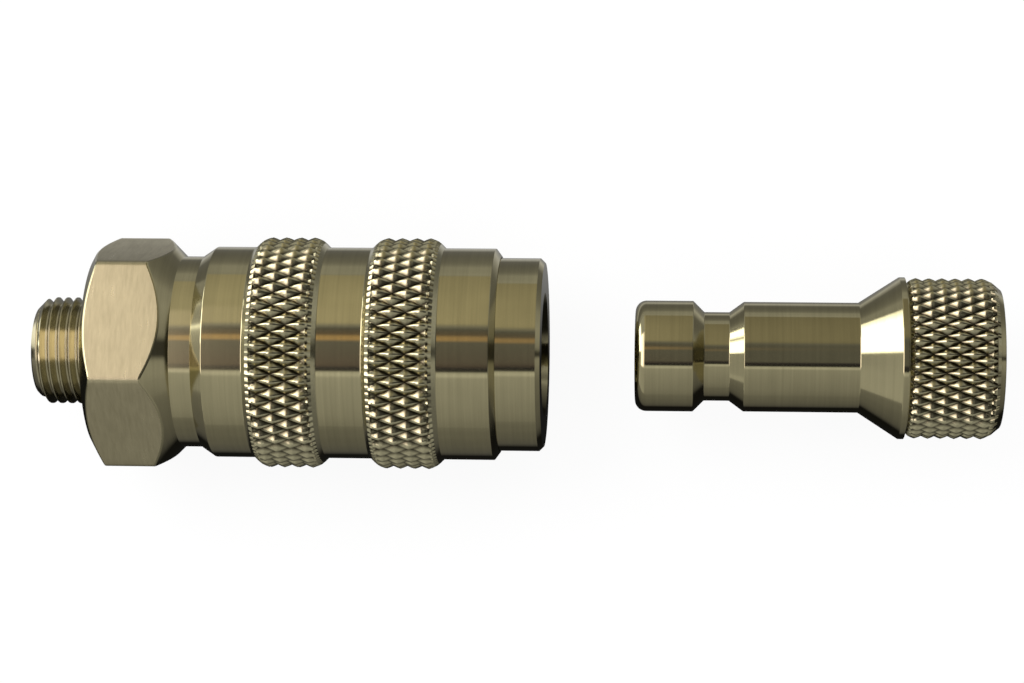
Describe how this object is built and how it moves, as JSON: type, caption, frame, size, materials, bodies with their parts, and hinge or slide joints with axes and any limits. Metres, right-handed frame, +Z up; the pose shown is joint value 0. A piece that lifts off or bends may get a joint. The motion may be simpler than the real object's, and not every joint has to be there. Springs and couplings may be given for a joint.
{
  "type": "quick coupling",
  "caption": "Ball-lock quick coupling in two halves: a socket with a hexagon, a male thread and a knurled release sleeve, and a grooved plug with a knurled head.",
  "frame": {"origin": "centre of the hexagon's seating face, on the coupling's axis", "axes": "+X along the axis from the socket to the plug, +Z up with the coupling lying on its side"},
  "size_m": [0.0871, 0.0214, 0.021],
  "materials": {
    "nickel_plated_brass": "polished",
    "spring_steel": "satin",
    "ball_steel": "polished",
    "seal_rubber": "matte",
    "backup_plastic": "satin"
  },
  "bodies": {
    "socket": {"adapter": "nickel_plated_brass", "socket_body": "nickel_plated_brass", "sleeve_spring": "spring_steel", "valve_spring": "spring_steel", "valve_guide": "nickel_plated_brass", "body_gasket": "seal_rubber", "plug_seal": "seal_rubber", "seal_backup_ring": "backup_plastic"},
    "sleeve": {"release_sleeve": "nickel_plated_brass"},
    "plug": {"plug_body": "nickel_plated_brass"},
    "valve": {"valve_poppet": "nickel_plated_brass", "valve_seal": "seal_rubber"},
    "ball_1": {"locking_ball_1": "ball_steel"},
    "ball_2": {"locking_ball_2": "ball_steel"},
    "ball_3": {"locking_ball_3": "ball_steel"},
    "ball_4": {"locking_ball_4": "ball_steel"},
    "ball_5": {"locking_ball_5": "ball_steel"},
    "ball_6": {"locking_ball_6": "ball_steel"},
    "ball_7": {"locking_ball_7": "ball_steel"},
    "ball_8": {"locking_ball_8": "ball_steel"}
  },
  "joints": [
    {"name": "sleeve_slide", "type": "slide", "parent": "socket", "child": "sleeve", "axis": [-1, 0, 0], "range_m": [-0.0024, 0], "deforming": ["sleeve_spring"]},
    {"name": "plug_slide", "type": "slide", "parent": "socket", "child": "plug", "axis": [1, 0, 0], "range_m": [-0.02754, 0]},
    {"name": "valve_slide", "type": "slide", "parent": "socket", "child": "valve", "axis": [1, 0, 0], "range_m": [-0.00301, 0], "deforming": ["valve_spring"]},
    {"name": "ball_slide_1", "type": "slide", "parent": "socket", "child": "ball_1", "axis": [0, 0, 1], "range_m": [-0.000951, 0]},
    {"name": "ball_slide_2", "type": "slide", "parent": "socket", "child": "ball_2", "axis": [0, -0.7071, 0.7071], "range_m": [-0.000951, 0]},
    {"name": "ball_slide_3", "type": "slide", "parent": "socket", "child": "ball_3", "axis": [0, -1, 0], "range_m": [-0.000951, 0]},
    {"name": "ball_slide_4", "type": "slide", "parent": "socket", "child": "ball_4", "axis": [0, -0.7071, -0.7071], "range_m": [-0.000951, 0]},
    {"name": "ball_slide_5", "type": "slide", "parent": "socket", "child": "ball_5", "axis": [0, 0, -1], "range_m": [-0.000951, 0]},
    {"name": "ball_slide_6", "type": "slide", "parent": "socket", "child": "ball_6", "axis": [0, 0.7071, -0.7071], "range_m": [-0.000951, 0]},
    {"name": "ball_slide_7", "type": "slide", "parent": "socket", "child": "ball_7", "axis": [0, 1, 0], "range_m": [-0.000951, 0]},
    {"name": "ball_slide_8", "type": "slide", "parent": "socket", "child": "ball_8", "axis": [0, 0.7071, 0.7071], "range_m": [-0.000951, 0]}
  ],
  "couplings": [
    {"joint": "valve_slide", "follows": "plug_slide", "ratio": 0.10893},
    {"joint": "ball_slide_1", "follows": "sleeve_slide", "ratio": 0.39583},
    {"joint": "ball_slide_2", "follows": "sleeve_slide", "ratio": 0.39583},
    {"joint": "ball_slide_3", "follows": "sleeve_slide", "ratio": 0.39583},
    {"joint": "ball_slide_4", "follows": "sleeve_slide", "ratio": 0.39583},
    {"joint": "ball_slide_5", "follows": "sleeve_slide", "ratio": 0.39583},
    {"joint": "ball_slide_6", "follows": "sleeve_slide", "ratio": 0.39583},
    {"joint": "ball_slide_7", "follows": "sleeve_slide", "ratio": 0.39583},
    {"joint": "ball_slide_8", "follows": "sleeve_slide", "ratio": 0.39583}
  ]
}
